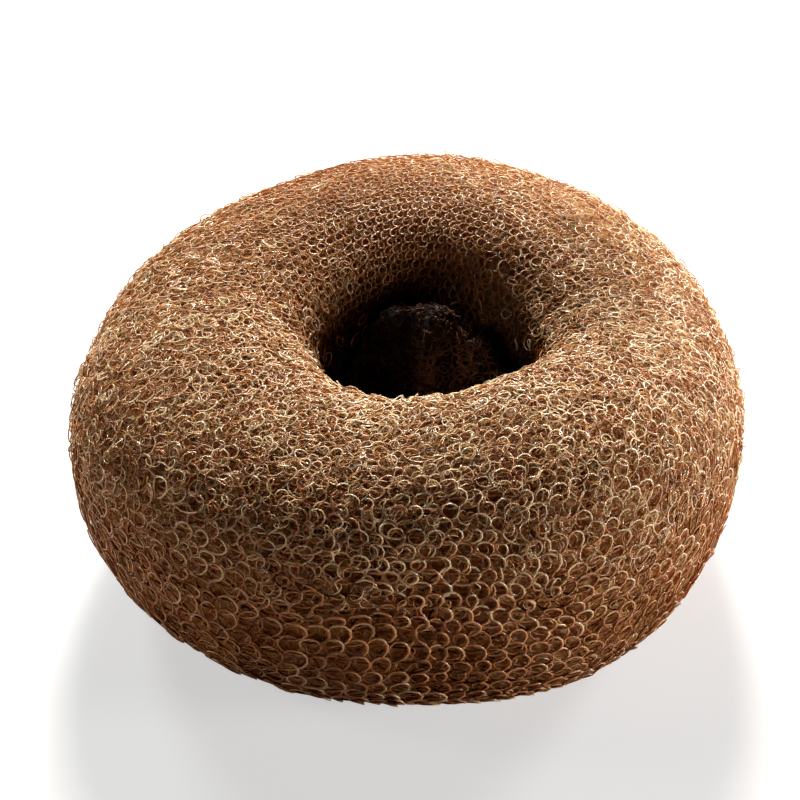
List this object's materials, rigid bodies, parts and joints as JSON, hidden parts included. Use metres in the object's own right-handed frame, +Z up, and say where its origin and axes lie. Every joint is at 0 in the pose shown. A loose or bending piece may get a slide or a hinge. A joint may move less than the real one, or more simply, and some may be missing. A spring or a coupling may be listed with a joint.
{
  "type": "hair bun ring",
  "caption": "Fat soft ring rolled from a knitted netting sleeve, with a funnel-shaped hole for hair and its gathered end tucked inside.",
  "frame": {"origin": "on the table, at the middle of the ring's outline", "axes": "+Z up out of the hole's funnel, as the ring lies; +Y to the back, away from the viewer; +X to the viewer's right"},
  "size_m": [0.0896, 0.0882, 0.0417],
  "materials": {
    "netting": "glossy nylon thread, tan to copper brown",
    "netting_inside": "the same thread, seen in the shade of the hole"
  },
  "bodies": {
    "root": {"rolled_sleeve": "netting", "tucked_end": "netting_inside"}
  },
  "joints": []
}
